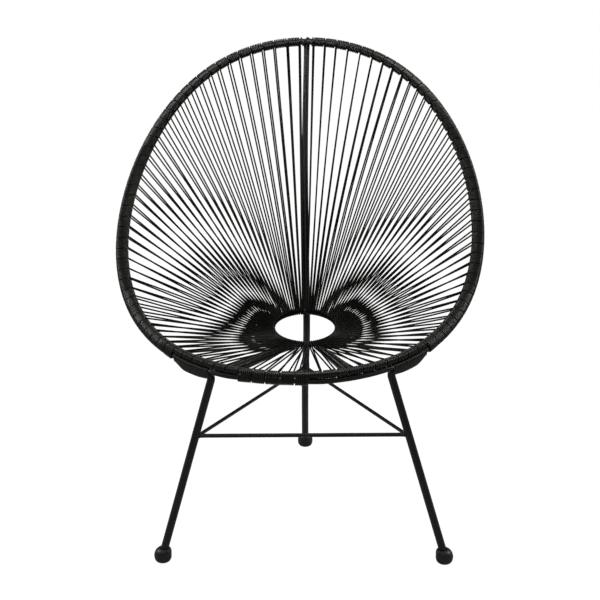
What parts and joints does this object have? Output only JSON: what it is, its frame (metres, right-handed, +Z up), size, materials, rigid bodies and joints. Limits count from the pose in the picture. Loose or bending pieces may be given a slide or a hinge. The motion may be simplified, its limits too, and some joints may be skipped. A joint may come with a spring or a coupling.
{
  "type": "acapulco chair",
  "caption": "Low garden chair: an egg-shaped steel hoop strung with cord down to a small ring, on slanted legs with thin stretchers.",
  "frame": {"origin": "on the floor, under the middle of the chair's overall length and width", "axes": "+Z up from the floor, the sitter faces -Y, +X to the right as seen from the front"},
  "size_m": [0.7754, 0.7476, 0.9131],
  "materials": {
    "hoop_inner_rod": "satin black powder coat",
    "hoop_outer_rod": "satin black powder coat",
    "seat_ring": "satin black powder coat",
    "rear_leg_spine": "satin black powder coat",
    "ring_lug": "satin black powder coat",
    "front_leg_left": "satin black powder coat",
    "front_leg_right": "satin black powder coat",
    "seat_arm_left": "satin black powder coat",
    "seat_arm_right": "satin black powder coat",
    "front_stretcher": "satin black powder coat",
    "side_stretcher_left": "satin black powder coat",
    "side_stretcher_right": "satin black powder coat",
    "foot_cap_front_left": "moulded black plastic",
    "foot_cap_front_right": "moulded black plastic",
    "foot_cap_rear": "moulded black plastic",
    "hoop_winding_back": "wound black plastic cord",
    "hoop_winding_corner_right": "wound black plastic cord",
    "hoop_winding_front": "wound black plastic cord",
    "hoop_winding_corner_left": "wound black plastic cord",
    "cord_run_01": "black plastic cord with a slight sheen",
    "cord_run_02": "black plastic cord with a slight sheen",
    "cord_run_03": "black plastic cord with a slight sheen",
    "cord_run_04": "black plastic cord with a slight sheen",
    "cord_run_05": "black plastic cord with a slight sheen",
    "cord_run_06": "black plastic cord with a slight sheen",
    "cord_run_07": "black plastic cord with a slight sheen",
    "cord_run_08": "black plastic cord with a slight sheen",
    "cord_run_09": "black plastic cord with a slight sheen",
    "cord_run_10": "black plastic cord with a slight sheen"
  },
  "bodies": {
    "root": {"hoop_inner_rod": "hoop_inner_rod", "hoop_outer_rod": "hoop_outer_rod", "seat_ring": "seat_ring", "rear_leg_spine": "rear_leg_spine", "ring_lug": "ring_lug", "front_leg_left": "front_leg_left", "front_leg_right": "front_leg_right", "seat_arm_left": "seat_arm_left", "seat_arm_right": "seat_arm_right", "front_stretcher": "front_stretcher", "side_stretcher_left": "side_stretcher_left", "side_stretcher_right": "side_stretcher_right", "foot_cap_front_left": "foot_cap_front_left", "foot_cap_front_right": "foot_cap_front_right", "foot_cap_rear": "foot_cap_rear", "hoop_winding_back": "hoop_winding_back", "hoop_winding_corner_right": "hoop_winding_corner_right", "hoop_winding_front": "hoop_winding_front", "hoop_winding_corner_left": "hoop_winding_corner_left", "cord_run_01": "cord_run_01", "cord_run_02": "cord_run_02", "cord_run_03": "cord_run_03", "cord_run_04": "cord_run_04", "cord_run_05": "cord_run_05", "cord_run_06": "cord_run_06", "cord_run_07": "cord_run_07", "cord_run_08": "cord_run_08", "cord_run_09": "cord_run_09", "cord_run_10": "cord_run_10"}
  },
  "joints": []
}
